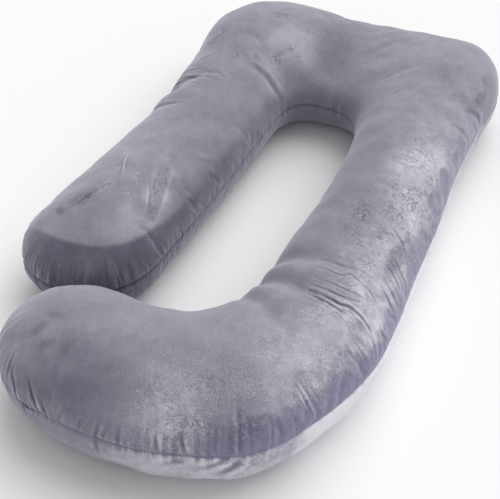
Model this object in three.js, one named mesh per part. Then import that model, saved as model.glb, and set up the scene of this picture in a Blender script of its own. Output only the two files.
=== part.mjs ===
// A full-body pregnancy pillow: one filled tube, sewn from an upper and a lower panel of plush
// cloth along a seam that runs all the way round its side. It lies flat in a G: a short straight
// arm, a broad head end, a long arm, and a hook that curls in under the legs.
// Millimetres, +Z up. The origin is under the middle of the pillow, on the surface it lies on,
// with +Y towards the head end and +X towards the long arm.

import * as THREE from 'three';

// The cut of the pillow as it lies, a row for each rib across the tube, from the end of the short
// arm to the end of the hook. outer and inner are where the rib meets the seam in plan, crown is
// the height of the filled tube there, and outerSeam and innerSeam are the seam's heights.
const RIBS = [
  { outer: [-406, -385], inner: [-108, -385], crown: 200, outerSeam: 98, innerSeam: 108 },
  { outer: [-396, -243], inner: [-98, -245], crown: 206, outerSeam: 98, innerSeam: 104 },
  { outer: [-370, -80], inner: [-86, -100], crown: 204, outerSeam: 98, innerSeam: 96 },
  { outer: [-350, 60], inner: [-76, 40], crown: 198, outerSeam: 96, innerSeam: 92 },
  { outer: [-335, 220], inner: [-68, 175], crown: 196, outerSeam: 96, innerSeam: 92 },
  { outer: [-333, 385], inner: [-62, 280], crown: 204, outerSeam: 98, innerSeam: 94 },
  { outer: [-339, 527], inner: [-50, 335], crown: 212, outerSeam: 100, innerSeam: 96 },
  { outer: [-290, 643], inner: [-28, 366], crown: 214, outerSeam: 100, innerSeam: 96 },
  { outer: [-172, 695], inner: [2, 380], crown: 208, outerSeam: 98, innerSeam: 94 },
  { outer: [-10, 698], inner: [26, 384], crown: 194, outerSeam: 96, innerSeam: 90 },
  { outer: [170, 717], inner: [54, 382], crown: 190, outerSeam: 96, innerSeam: 90 },
  { outer: [327, 707], inner: [88, 366], crown: 202, outerSeam: 98, innerSeam: 92 },
  { outer: [396, 590], inner: [114, 330], crown: 210, outerSeam: 102, innerSeam: 94 },
  { outer: [391, 440], inner: [128, 262], crown: 206, outerSeam: 104, innerSeam: 94 },
  { outer: [390, 270], inner: [132, 170], crown: 202, outerSeam: 106, innerSeam: 94 },
  { outer: [402, 90], inner: [130, 50], crown: 204, outerSeam: 110, innerSeam: 92 },
  { outer: [407, -80], inner: [120, -70], crown: 206, outerSeam: 114, innerSeam: 92 },
  { outer: [414, -225], inner: [110, -175], crown: 208, outerSeam: 118, innerSeam: 90 },
  { outer: [408, -362], inner: [96, -262], crown: 210, outerSeam: 124, innerSeam: 90 },
  { outer: [358, -511], inner: [68, -322], crown: 214, outerSeam: 132, innerSeam: 88 },
  { outer: [273, -634], inner: [30, -356], crown: 218, outerSeam: 138, innerSeam: 86 },
  { outer: [134, -694], inner: [-14, -372], crown: 224, outerSeam: 140, innerSeam: 86 },
  { outer: [-2, -710], inner: [-62, -376], crown: 228, outerSeam: 138, innerSeam: 88 },
  { outer: [-139, -694], inner: [-138, -376], crown: 226, outerSeam: 130, innerSeam: 92 },
  { outer: [-273, -657], inner: [-304, -402], crown: 212, outerSeam: 114, innerSeam: 98 },
];

// The section of the filled tube. A fullness of 2 is an ellipse, and more is boxier.
const UPPER_FULLNESS = 2.3;
const LOWER_FULLNESS = 2.7;
const FLATTENING = 1.13; // more than 1 leaves a flat face where the pillow rests
const SEAM_DRAW = 7; // how far the stitches pull the seam in
const SEAM_SHARPNESS = 12; // more keeps that pull closer to the seam

// The rounded ends of the short arm and of the hook.
const ARM_END = 150;
const HOOK_END = 165;
const END_POWER = 2.3; // 2 is an ellipse, and more is blunter
const END_SPREAD = 3; // the ribs straighten over this many end lengths

// How finely the cloth is faceted: ribs in each rounded end, ribs along the tube between them,
// and steps across each panel.
const END_STATIONS = 9;
const TUBE_STATIONS = 106;
const STATIONS = TUBE_STATIONS + 2 * END_STATIONS;
const PANEL_STEPS = 20;

// Puckers that the stitches gather beside the seam. Their pitch along it drifts, they are deepest
// round the two ends, and their reach from the seam is a share of the tube's half width.
const PUCKER_PITCH = 62;
const PUCKER_DRIFT = 2;
const PUCKER_DRIFT_LENGTH = 170;
const PUCKER_END_DEPTH = 6;
const PUCKER_SIDE_DEPTH = 2;
const PUCKER_REACH = 0.45;
const PUCKER_SLOPE = 2; // how slowly they grow towards the seam
const PUCKER_CLOSE = 6; // more keeps them deep until closer to the stitches

// The main folds and hollows of the upper panel, as soft troughs that fade towards their far end.
// A place is its share of the middle line, then how far across: -1 inner seam, 1 outer seam.
const FOLDS = [
  { name: 'arm dent', from: [0.06, 0.62], to: [0.135, 0.3], depth: 5, width: 30 },
  { name: 'neck lower', from: [0.183, 0.8], to: [0.2, 0.05], depth: 8, width: 24 },
  { name: 'neck upper', from: [0.216, 0.8], to: [0.24, -0.05], depth: 10, width: 26 },
  { name: 'corner valley', from: [0.3, -0.9], to: [0.29, -0.1], depth: 12, width: 40 },
  { name: 'head hollow', from: [0.38, -0.8], to: [0.43, 0.35], depth: 20, width: 95 },
  { name: 'grip', from: [0.53, 0.97], to: [0.52, 0.45], depth: 11, width: 28 },
  { name: 'arm crease', from: [0.655, 0.97], to: [0.632, 0.25], depth: 6, width: 24 },
  { name: 'knee upper', from: [0.728, -0.9], to: [0.722, 0.7], depth: 12, width: 24 },
  { name: 'knee middle', from: [0.754, -0.9], to: [0.758, 0.85], depth: 17, width: 25 },
  { name: 'knee lower', from: [0.782, -0.9], to: [0.8, 0.55], depth: 12, width: 24 },
  { name: 'hook side', from: [0.884, 0.97], to: [0.878, 0.45], depth: 8, width: 22 },
];
const FOLD_HALF_WIDTH = 150; // the tube's usual half width, which turns shares across into lengths

const FLOOR_TOLERANCE = 0.5; // points this low are where the pillow rests, and stay flat

const CURVE_TENSION = 0.5;
const MEASURE_STEPS = 600; // how finely the middle line is measured

const edgeCurve = (place) =>
  new THREE.CatmullRomCurve3(RIBS.map(place), false, 'catmullrom', CURVE_TENSION);
const outerEdge = edgeCurve((rib) => new THREE.Vector3(...rib.outer, rib.outerSeam));
const innerEdge = edgeCurve((rib) => new THREE.Vector3(...rib.inner, rib.innerSeam));
const crownLine = edgeCurve((rib) => new THREE.Vector3(rib.crown, 0, 0));

// Lengths along the middle line, so that ribs can be spaced by real distance.
const middleAt = (share) => outerEdge.getPoint(share).lerp(innerEdge.getPoint(share), 0.5);
const measured = [0];
for (let step = 1; step <= MEASURE_STEPS; step += 1) {
  const stride = middleAt(step / MEASURE_STEPS).distanceTo(middleAt((step - 1) / MEASURE_STEPS));
  measured.push(measured[step - 1] + stride);
}
const middleLength = measured[MEASURE_STEPS];

// The edge curves' parameter at a distance along the middle line.
function shareAt(distance) {
  const wanted = THREE.MathUtils.clamp(distance, 0, middleLength);
  let step = 1;
  while (step < MEASURE_STEPS && measured[step] < wanted) step += 1;
  const part = (wanted - measured[step - 1]) / (measured[step] - measured[step - 1]);
  return (step - 1 + part) / MEASURE_STEPS;
}

// The distance of a rib along the middle line. In the rounded ends the ribs get closer towards
// the tip, because the skin gets steeper there.
function stationDistance(station) {
  const toEnd = STATIONS - station;
  const roundEnd = (steps, length) => length * (1 - Math.cos((steps / END_STATIONS) * (Math.PI / 2)));
  if (station < END_STATIONS) return roundEnd(station, ARM_END);
  if (toEnd < END_STATIONS) return middleLength - roundEnd(toEnd, HOOK_END);
  const share = (station - END_STATIONS) / TUBE_STATIONS;
  return THREE.MathUtils.lerp(ARM_END, middleLength - HOOK_END, share);
}

// Where a grid point lies on a panel: its distance along the middle line, its place across the
// rib, how far into a rounded end it is, and its reach, from 0 in the middle to 1 on the seam.
// At the ends the ribs curve round, so that the first and last ones lie along the seam.
function panelPlace(ribDistance, angle) {
  const inArm = ribDistance < middleLength / 2;
  const endLength = inArm ? ARM_END : HOOK_END;
  const fromEnd = inArm ? ribDistance : middleLength - ribDistance;
  const across = Math.sign(angle) * Math.abs(Math.sin(angle)) ** (2 / END_POWER);
  const setBack = endLength * (1 - Math.abs(Math.cos(angle)) ** (2 / END_POWER));
  const shifted = fromEnd + setBack * Math.max(0, 1 - fromEnd / (END_SPREAD * endLength));
  const inEnd = Math.max(0, 1 - shifted / endLength);
  const reach = (Math.abs(across) ** END_POWER + inEnd ** END_POWER) ** (1 / END_POWER);
  const distance = inArm ? shifted : middleLength - shifted;
  return { distance, across, inEnd, reach: Math.min(1, reach), angle, endLength };
}

const fullness = (reach, power) => Math.sqrt(Math.max(0, 1 - reach ** power));

// The point of the filled tube's skin at a place on its upper or lower panel.
function skinPoint(place, upper) {
  const share = shareAt(place.distance);
  const outer = outerEdge.getPoint(share);
  const inner = innerEdge.getPoint(share);
  const drawnIn = (SEAM_DRAW * place.reach ** SEAM_SHARPNESS) / (outer.distanceTo(inner) / 2);
  const point = inner.lerp(outer, (1 + place.across * (1 - drawnIn)) / 2);
  const seamHeight = point.z;
  if (upper) {
    const rise = crownLine.getPoint(share).x - seamHeight;
    point.z += rise * fullness(place.reach, UPPER_FULLNESS);
  } else {
    point.z -= seamHeight * Math.min(1, FLATTENING * fullness(place.reach, LOWER_FULLNESS));
  }
  return point;
}

// How deep a fold presses at a place.
function foldDepth(fold, place) {
  const flat = (share, across) => new THREE.Vector2(share * middleLength, across * FOLD_HALF_WIDTH);
  const start = flat(...fold.from);
  const run = flat(...fold.to).sub(start);
  const here = flat(place.distance / middleLength, place.across);
  const part = THREE.MathUtils.clamp(here.clone().sub(start).dot(run) / run.lengthSq(), 0, 1);
  const away = here.distanceTo(start.addScaledVector(run, part));
  return fold.depth * (1 - part * part) * Math.exp(-((away / fold.width) ** 2));
}

// How deep the puckers press at a place. Round an end they follow its angle.
function puckerDepth(place) {
  const nearSeam = Math.max(0, 1 - (1 - place.reach) / PUCKER_REACH);
  const run = place.inEnd > 0 ? place.angle * place.endLength : place.distance;
  const drift = PUCKER_DRIFT * Math.sin(run / PUCKER_DRIFT_LENGTH);
  const wave = (1 + Math.sin((2 * Math.PI * run) / PUCKER_PITCH + drift)) / 2;
  const depth = THREE.MathUtils.lerp(PUCKER_SIDE_DEPTH, PUCKER_END_DEPTH, Math.sqrt(place.inEnd));
  return depth * wave * nearSeam ** PUCKER_SLOPE * (1 - nearSeam ** PUCKER_CLOSE);
}

// The points of both panels as one closed skin, with the depth that each is pressed in by. The
// panels are grids of the same size that share the points of their seam.
function skinGrid() {
  const points = [];
  const depths = [];
  const upper = [];
  const lower = [];
  for (const panel of [upper, lower]) {
    for (let i = 0; i <= STATIONS; i += 1) {
      panel.push([]);
      for (let j = 0; j <= PANEL_STEPS; j += 1) {
        const onSeam = i === 0 || i === STATIONS || j === 0 || j === PANEL_STEPS;
        if (panel === lower && onSeam) {
          panel[i].push(upper[i][j]);
          continue;
        }
        const angle = (j / PANEL_STEPS - 0.5) * Math.PI;
        const place = panelPlace(stationDistance(i), angle);
        const point = skinPoint(place, panel === upper);
        const folds = panel === upper ? FOLDS.map((fold) => foldDepth(fold, place)) : [];
        const pressed = folds.reduce((sum, depth) => sum + depth, puckerDepth(place));
        panel[i].push(depths.length);
        points.push(point);
        depths.push(point.z > FLOOR_TOLERANCE ? pressed : 0);
      }
    }
  }
  return { points, depths, upper, lower };
}

// The two triangles of each grid square. Squares are cut so that those at the panel's corners
// leave no triangle with all its points on the seam.
function gridTriangles(panel, facesUp) {
  const triangles = [];
  for (let i = 0; i < STATIONS; i += 1) {
    for (let j = 0; j < PANEL_STEPS; j += 1) {
      const [a, b, c, d] = [panel[i][j], panel[i + 1][j], panel[i + 1][j + 1], panel[i][j + 1]];
      const cutFromA = (i < STATIONS / 2) === (j < PANEL_STEPS / 2);
      const pair = cutFromA ? [[a, b, c], [a, c, d]] : [[a, b, d], [b, c, d]];
      for (const [p, q, r] of pair) triangles.push(...(facesUp ? [p, q, r] : [p, r, q]));
    }
  }
  return triangles;
}

// Moves each point in along its normal by its depth, but never below the surface.
function pressIn(geometry, depths) {
  const position = geometry.getAttribute('position');
  const normal = geometry.getAttribute('normal');
  for (let k = 0; k < position.count; k += 1) {
    const point = new THREE.Vector3().fromBufferAttribute(position, k);
    point.addScaledVector(new THREE.Vector3().fromBufferAttribute(normal, k), -depths[k]);
    position.setXYZ(k, point.x, point.y, Math.max(0, point.z));
  }
}

function pillowGeometry() {
  const { points, depths, upper, lower } = skinGrid();
  const geometry = new THREE.BufferGeometry().setFromPoints(points);
  geometry.setIndex([...gridTriangles(upper, true), ...gridTriangles(lower, false)]);
  geometry.computeVertexNormals();
  pressIn(geometry, depths);
  geometry.computeVertexNormals();
  geometry.computeBoundingBox();
  const middle = geometry.boundingBox.getCenter(new THREE.Vector3());
  geometry.translate(-middle.x, -middle.y, -geometry.boundingBox.min.z);
  return geometry;
}

const plush = new THREE.MeshStandardMaterial({ color: 0x8f8d9b, roughness: 0.85, metalness: 0 });

const pillow = new THREE.Mesh(pillowGeometry(), plush);
pillow.name = 'pillow';

const group = new THREE.Group();
group.add(pillow);
export default group;
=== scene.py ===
"""Dresses a full-body pregnancy pillow: an upper and a lower panel of velvet plush, sewn together
along one seam round the side and filled into a fat tube that lies in a G.

The panels start from the tube's ribs, and a cloth simulation puffs them out from the stitched
seam. Then they get the gathers beside the seam, the creases of the bends, the unevenness of the
filling, the marks where the nap was brushed, and painted shade and painted highlights in their
colour. Metres, +Z up, in the frame of the solids, with +Y towards the head end and +X towards the
long arm.
"""

import math
from collections import namedtuple
from itertools import starmap

import bpy
import numpy as np
from bpy.props import FloatProperty, FloatVectorProperty, IntProperty, PointerProperty
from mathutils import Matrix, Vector
from mathutils.kdtree import KDTree


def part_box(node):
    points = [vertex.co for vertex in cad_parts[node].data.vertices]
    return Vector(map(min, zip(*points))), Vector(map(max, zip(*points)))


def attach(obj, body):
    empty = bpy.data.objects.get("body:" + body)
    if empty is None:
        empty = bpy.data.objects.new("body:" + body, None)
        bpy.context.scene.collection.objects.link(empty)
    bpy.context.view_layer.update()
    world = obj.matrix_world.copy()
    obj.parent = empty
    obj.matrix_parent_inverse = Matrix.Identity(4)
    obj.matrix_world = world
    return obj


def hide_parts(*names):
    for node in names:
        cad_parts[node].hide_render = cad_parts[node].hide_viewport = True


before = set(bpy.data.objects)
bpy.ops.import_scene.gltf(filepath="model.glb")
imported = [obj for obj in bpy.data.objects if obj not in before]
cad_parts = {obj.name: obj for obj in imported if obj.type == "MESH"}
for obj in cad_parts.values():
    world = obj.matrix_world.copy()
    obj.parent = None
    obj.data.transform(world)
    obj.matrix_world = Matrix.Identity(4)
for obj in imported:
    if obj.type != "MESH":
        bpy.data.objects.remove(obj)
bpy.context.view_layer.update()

bl_info = {
    "name": "Pregnancy Pillow",
    "version": (1, 0, 0),
    "blender": (4, 5, 0),
    "location": "View3D > Sidebar > Pillow",
    "description": "Builds the plush panels of a full-body pregnancy pillow and its studio",
    "category": "Object",
}

NODE = "pillow"
MM = 0.001
QUARTER_TURN = math.pi / 2
TINY = 1e-12  # keeps a length that something is divided by above 0
UPPER, LOWER = 1, -1  # which way a panel faces

# The cut of the pillow as it lies, in millimetres, a row for each rib across the tube, from the
# end of the short arm to the end of the hook. outer and inner are where the rib meets the seam in
# plan, crown is the tube's height there, and outer_seam and inner_seam are the seam's heights.
Rib = namedtuple("Rib", "outer inner crown outer_seam inner_seam")
RIBS = (
    Rib((-406, -385), (-108, -385), 200, 98, 108),
    Rib((-396, -243), (-98, -245), 206, 98, 104),
    Rib((-370, -80), (-86, -100), 204, 98, 96),
    Rib((-350, 60), (-76, 40), 198, 96, 92),
    Rib((-335, 220), (-68, 175), 196, 96, 92),
    Rib((-333, 385), (-62, 280), 204, 98, 94),
    Rib((-339, 527), (-50, 335), 212, 100, 96),
    Rib((-290, 643), (-28, 366), 214, 100, 96),
    Rib((-172, 695), (2, 380), 208, 98, 94),
    Rib((-10, 698), (26, 384), 194, 96, 90),
    Rib((170, 717), (54, 382), 190, 96, 90),
    Rib((327, 707), (88, 366), 202, 98, 92),
    Rib((396, 590), (114, 330), 210, 102, 94),
    Rib((391, 440), (128, 262), 206, 104, 94),
    Rib((390, 270), (132, 170), 202, 106, 94),
    Rib((402, 90), (130, 50), 204, 110, 92),
    Rib((407, -80), (120, -70), 206, 114, 92),
    Rib((414, -225), (110, -175), 208, 118, 90),
    Rib((408, -362), (96, -262), 210, 124, 90),
    Rib((358, -511), (68, -322), 214, 132, 88),
    Rib((273, -634), (30, -356), 218, 138, 86),
    Rib((134, -694), (-14, -372), 224, 140, 86),
    Rib((-2, -710), (-62, -376), 228, 138, 88),
    Rib((-139, -694), (-138, -376), 226, 130, 92),
    Rib((-273, -657), (-304, -402), 212, 114, 98),
)

# The section of the filled tube. A fullness of 2 is an ellipse, and more is boxier.
UPPER_FULLNESS = 2.3
LOWER_FULLNESS = 2.7
FLATTENING = 1.13  # more than 1 leaves a flat face where the pillow rests
SEAM_DRAW = 7 * MM  # how far the stitches pull the seam in
SEAM_SHARPNESS = 12
FLOOR_TOUCH = 0.5 * MM  # cloth nearer the floor than this rests on it

# The rounded ends of the short arm and of the hook.
ARM_END = 150 * MM
HOOK_END = 165 * MM
END_POWER = 2.3
END_SPREAD = 3
END_STATIONS_SHARE = 0.075  # the share of a panel's rows that lie in each rounded end

# How finely the panels are woven: for the simulation, and for the cloth that shows.
SIM_GRID = (300, 48)
CLOTH_GRID = (780, 126)
WEAVE_SHARES = (0, 0.2, 0.235, 0.27, 0.33, 0.62, 0.7, 0.76, 0.84, 1)  # of a panel's rows
WEAVE_DENSITIES = (1, 0.9, 1.4, 1.3, 0.8, 0.85, 1.7, 1.6, 1.1, 1)  # how close they lie there
MEASURE_STEPS = 600

# How the cloth behaves while it fills. Nothing weighs on it.
CLOTH = {
    "quality": 6, "mass": 0.3, "tension_stiffness": 20, "compression_stiffness": 12,
    "shear_stiffness": 8, "bending_stiffness": 0.6, "air_damping": 3, "use_pressure": True,
}

# The soft folds and hollows that the solid has too. A place is its share of the middle line,
# then how far across in plan: -1 inner seam, 1 outer seam. Depth and width are in millimetres.
Fold = namedtuple("Fold", "start end depth width")
FOLDS = (
    Fold((0.06, 0.62), (0.135, 0.3), 5, 30),  # arm dent
    Fold((0.183, 0.8), (0.2, 0.05), 8, 24),  # neck lower
    Fold((0.216, 0.8), (0.24, -0.05), 10, 26),  # neck upper
    Fold((0.3, -0.9), (0.29, -0.1), 12, 40),  # corner valley
    Fold((0.38, -0.8), (0.43, 0.35), 20, 95),  # head hollow
    Fold((0.53, 0.97), (0.52, 0.45), 11, 28),  # grip
    Fold((0.655, 0.97), (0.632, 0.25), 6, 24),  # arm crease
    Fold((0.728, -0.9), (0.722, 0.7), 12, 24),  # knee upper
    Fold((0.754, -0.9), (0.758, 0.85), 17, 25),  # knee middle
    Fold((0.782, -0.9), (0.8, 0.55), 12, 24),  # knee lower
    Fold((0.884, 0.97), (0.878, 0.45), 8, 22),  # hook side
)
FOLD_HALF_WIDTH = 150
FOLD_RUNOUT = 8  # more keeps a fold's depth closer to the seam

# The gathers beside the seam, at shares of the middle line.
# pitch is from ridge to ridge, depth how far a ridge stands out, and reach how far it runs from
# the seam, in millimetres. The seam's two sides meet in the rounded ends.
Gather = namedtuple("Gather", "share pitch depth reach")
GATHERS = ((
    # On the outer seam.
    Gather(0.0, 14, 4.2, 50),
    Gather(0.035, 15, 3.4, 46),
    Gather(0.07, 18, 1.6, 34),
    Gather(0.12, 22, 0.8, 24),
    Gather(0.6, 18, 0.8, 26),
    Gather(0.68, 13, 1.1, 60),
    Gather(0.8, 12, 1.3, 66),
    Gather(0.86, 15, 1.6, 50),
    Gather(0.95, 15, 1.5, 44),
    Gather(0.98, 14, 2.4, 54),
    Gather(1.0, 14, 3.6, 64),
), (
    # On the inner seam.
    Gather(0.0, 14, 4.2, 50),
    Gather(0.035, 15, 3.2, 46),
    Gather(0.07, 18, 1.5, 32),
    Gather(0.12, 24, 0.8, 24),
    Gather(0.7, 24, 0.9, 26),
    Gather(0.93, 20, 1.2, 30),
    Gather(0.97, 15, 2.6, 50),
    Gather(1.0, 14, 3.6, 64),
))
GATHER_FLAT = 10 * MM  # how far from the stitches a gather has its full height
GATHER_WANDER = 0.4  # how far a ridge wanders off its line, in pitches
WANDER_WAVE, WANDER_START = 45 * MM, 40 * MM  # it wanders fully that far from the seam
WIDE_GATHER = 2.6  # the pitch of the wide ridges that fine ones run into, in fine pitches
WIDE_GATHER_DEPTH = 0.55
WIDE_GATHER_REACH = 1.6
RIDGE_HEIGHTS, RIDGE_REACHES = (0.35, 1.1), (0.55, 1.35)  # how much the ridges differ
GATHER_SEEDS = {UPPER: 30, LOWER: 10}

# The unevenness of the filling.
LUMP_WAVE, LUMP_START = 90 * MM, 60 * MM  # the lumps are full that far from the seam
LUMP_SEEDS = {UPPER: 51, LOWER: 49}
RIPPLE_WAVES = 14
RIPPLE_SPREAD = (0.7, 1.5)  # the shortest and the longest wave, as shares of the wanted one

# Thin creases pressed into the filled cloth, by panel. A point of the line is its share of the
# middle line and its girth: -1 inner seam, 0 crown, 1 outer seam. depth is at the deep end of the
# line, and width is half the crease's width, in millimetres. The cloth beside it stands up by
# shoulder times the depth, and tone is the painted shade in the crease, below 0, or the painted
# light on it, above 0, with the opposite painted on its shoulders.
Crease = namedtuple("Crease", "line depth tone width shoulder", defaults=(3, 0.6))
CREASES = {UPPER: (
    # Across the knee.
    (((0.753, -0.05), (0.7517, 0.175), (0.7491, 0.27), (0.7491, 0.397), (0.7504, 0.54),
      (0.752, 0.64)), 3.4, -0.34, 2.4, 0.7),
    (((0.749, -0.05), (0.7464, 0.175), (0.7424, 0.286), (0.7383, 0.365)), 1.8, -0.24, 2.1, 0.7),
    (((0.733, -0.1), (0.7317, 0.08), (0.7263, 0.143), (0.7276, 0.238), (0.729, 0.413),
      (0.7303, 0.62)), 1.8, -0.2, 2.2, 0.8),
    (((0.743, -0.05), (0.7405, 0.17), (0.7375, 0.28), (0.735, 0.42)), 1.3, -0.18, 2, 0.7),
    (((0.757, -0.05), (0.7555, 0.15), (0.7545, 0.3), (0.756, 0.46)), 1.3, -0.18, 2, 0.7),
    (((0.763, -0.05), (0.7605, 0.1), (0.76, 0.28), (0.764, 0.45)), 1.4, -0.1, 2.6),
    (((0.724, -0.1), (0.723, 0.05), (0.719, 0.2), (0.718, 0.36)), 1, -0.08, 2.8),
    (((0.7415, 0.95), (0.7424, 0.76), (0.7424, 0.6)), 2, -0.16, 3, 0.5),
    (((0.7584, 0.86), (0.7544, 0.68), (0.7531, 0.57)), 1.6, -0.12, 3, 0.5),
    (((0.7651, 0.85), (0.7651, 0.6), (0.7651, 0.42)), 1.6, -0.12, 3, 0.5),
    (((0.7705, 0.8), (0.7718, 0.57), (0.7718, 0.4)), 1.4, -0.12, 3, 0.5),
    (((0.7223, 0.78), (0.7196, 0.57), (0.7169, 0.4)), 1.6, -0.14),
    (((0.716, 0.76), (0.7135, 0.56), (0.711, 0.4)), 1.4, -0.12),
    (((0.7062, 0.7), (0.7022, 0.5), (0.6995, 0.34)), 1.6, -0.14),
    (((0.6968, 0.8), (0.6942, 0.57), (0.69, 0.37)), 1.6, -0.14),
    # The short arm's neck.
    (((0.2215, 0.92), (0.2215, 0.71), (0.2255, 0.33), (0.2282, -0.03)), 3.5, -0.12, 5, 0.5),
    (((0.187, 0.92), (0.1894, 0.67), (0.1894, 0.25), (0.1907, 0)), 3, -0.12, 5, 0.5),
    (((0.24, 0.9), (0.2416, 0.65), (0.235, 0.19)), 2, -0.1, 4, 0.5),
    (((0.205, 0.9), (0.207, 0.6), (0.209, 0.3)), 2, -0.08, 4, 0.5),
    (((0.2255, 0.8), (0.2268, 0.45), (0.2262, 0.15), (0.2268, -0.05)), 1.6, -0.16, 3, 0.8),
    (((0.2155, 0.85), (0.2175, 0.5), (0.2165, 0.2), (0.2148, 0.02)), 1.6, -0.16, 3, 0.8),
    (((0.2322, 0.75), (0.2335, 0.38), (0.2362, 0.12)), 1.3, -0.14, 3, 0.8),
    (((0.1985, 0.85), (0.2, 0.6), (0.2015, 0.3)), 1.3, -0.12, 3, 0.8),
    # The corner that the neck runs into.
    (((0.2603, 0.43), (0.2684, 0.349), (0.2764, 0.238), (0.2884, 0.143)), 1.2, -0.18, 3, 0.8),
    (((0.266, 0.43), (0.272, 0.33), (0.279, 0.22)), 0.9, -0.14, 2.8, 0.8),
    (((0.2429, 0.34), (0.2496, 0.22), (0.2617, 0.095)), 1, -0.12, 3, 0.8),
    (((0.255, 0.33), (0.262, 0.24), (0.268, 0.18)), 0.8, -0.12, 2.8, 0.8),
    # The corner.
    (((0.283, -0.8), (0.2737, -0.4), (0.267, -0.19)), 3, -0.1, 8, 0.4),
    # The hollow on the long arm's outer side.
    (((0.524, 0.9), (0.524, 0.75), (0.53, 0.45)), 3, -0.12, 5, 0.5),
    (((0.548, 0.9), (0.548, 0.6), (0.548, 0.4)), 2, -0.1, 5, 0.5),
    # Along the long arm.
    (((0.586, 0.1), (0.588, 0.25), (0.594, 0.42)), 0.6, -0.06),
    (((0.596, 0.05), (0.599, 0.22), (0.604, 0.4)), 0.6, -0.06),
    (((0.606, 0.03), (0.609, 0.2), (0.613, 0.36)), 0.6, -0.06),
    (((0.642, 0.3), (0.648, 0.45), (0.655, 0.62)), 1.2, -0.08),
    (((0.668, 0.25), (0.675, 0.45), (0.683, 0.66)), 1.2, -0.08),
    # The turn into the hook.
    (((0.804, 0.97), (0.804, 0.71), (0.8053, 0.524), (0.807, 0.4)), 1.6, -0.14, 2.6, 0.8),
    (((0.8066, 0.97), (0.8066, 0.746), (0.808, 0.54), (0.8095, 0.4)), 2, -0.18, 2.8, 0.8),
    (((0.816, 0.97), (0.816, 0.746), (0.8174, 0.57)), 1.6, -0.16),
    (((0.8239, 0.95), (0.824, 0.7), (0.824, 0.57)), 2, -0.22),
    (((0.829, 0.95), (0.828, 0.75), (0.8274, 0.62)), 2.5, -0.28),
    (((0.8385, 0.95), (0.8378, 0.635), (0.8352, 0.46)), 1.6, -0.16),
    (((0.8462, 0.97), (0.8462, 0.79), (0.8443, 0.55)), 2, -0.2),
    (((0.8531, 0.97), (0.8531, 0.76), (0.8517, 0.54)), 1.8, -0.2),
    # The hook.
    (((0.8436, 0.97), (0.8432, 0.78), (0.841, 0.52), (0.8382, 0.3)), 3, -0.2, 3.5),
    (((0.848, 0.97), (0.8475, 0.78), (0.846, 0.6), (0.8445, 0.45)), 2, -0.14, 3.5),
    (((0.866, 0.97), (0.867, 0.8), (0.868, 0.62)), 2, -0.16, 3.5),
    (((0.878, 0.97), (0.8785, 0.8), (0.8795, 0.68)), 2, -0.14, 3.5),
    (((0.8953, 0.98), (0.8952, 0.85), (0.895, 0.72)), 2, -0.16),
    (((0.9025, 0.98), (0.9014, 0.85), (0.9, 0.74)), 2, -0.16),
    (((0.9067, 0.98), (0.9053, 0.85), (0.904, 0.68)), 3, -0.2),
    (((0.916, 0.97), (0.9146, 0.86), (0.913, 0.76)), 2, -0.16),
    (((0.927, 0.97), (0.9255, 0.86), (0.924, 0.75)), 2, -0.16),
    # The hook's end.
    (((0.9395, 0.99), (0.9434, 0.825), (0.9473, 0.667), (0.95, 0.57)), 3, -0.34),
    (((0.977, 0.65), (0.9752, 0.556), (0.9738, 0.429), (0.974, 0.36)), 1.8, -0.16),
    (((0.954, 0.93), (0.9592, 0.81), (0.9626, 0.698), (0.967, 0.54)), 6, -0.45, 4),
    (((0.9711, 0.651), (0.969, 0.5), (0.9693, 0.381)), 2.2, -0.2),
    (((0.9345, 0.98), (0.9375, 0.86), (0.941, 0.75)), 2, -0.18),
    # The short arm's top.
    (((0.078, 0.02), (0.0743, 0.048), (0.049, 0.127), (0.04, 0.238)), 0.6, -0.26, 2.6, 0.3),
    (((0.114, 0.12), (0.1025, 0.07), (0.0943, 0.02), (0.088, 0.03)), -0.3, 0.3, 1.8, 0.2),
    (((0.0697, -0.429), (0.088, -0.28), (0.1053, -0.127)), 0.2, -0.12, 2.5, 0.3),
    # The head end.
    (((0.331, 0.048), (0.336, 0.06), (0.342, 0.079)), 1, -0.14, 3.5, 0.3),
), LOWER: (
    # Under the hook.
    (((0.8434, 0.98), (0.8454, 0.905), (0.8496, 0.84), (0.854, 0.77)), 1.5, -0.3, 8, 0.2),
    (((0.849, 0.98), (0.855, 0.92), (0.862, 0.86)), 1, -0.16, 6, 0.2),
    (((0.866, 0.97), (0.873, 0.91), (0.88, 0.84)), 1, -0.12, 6, 0.2),
    (((0.9065, 0.98), (0.9061, 0.89), (0.905, 0.78)), 3, -0.2, 3.5, 0.5),
    (((0.954, 0.98), (0.9525, 0.87), (0.951, 0.78)), 3.5, -0.3, 4, 0.5),
)}
CREASE_POINTS = 24
CREASE_ROOM = 6  # how far from its line a crease still counts, in widths
# The share of its depth that a crease has where its line starts, and the share of the line by
# which it is at its deepest.
CREASE_START, CREASE_STARTS_BY = 0.3, 0.25
SHOULDER_AT, SHOULDER_WIDTH = 2, 0.9  # how far from its line the shoulders stand, in widths
# the painted highlight on a crease's shoulders, as a share of the crease's painted shade
SHOULDER_HIGHLIGHT = 0.5

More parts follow.
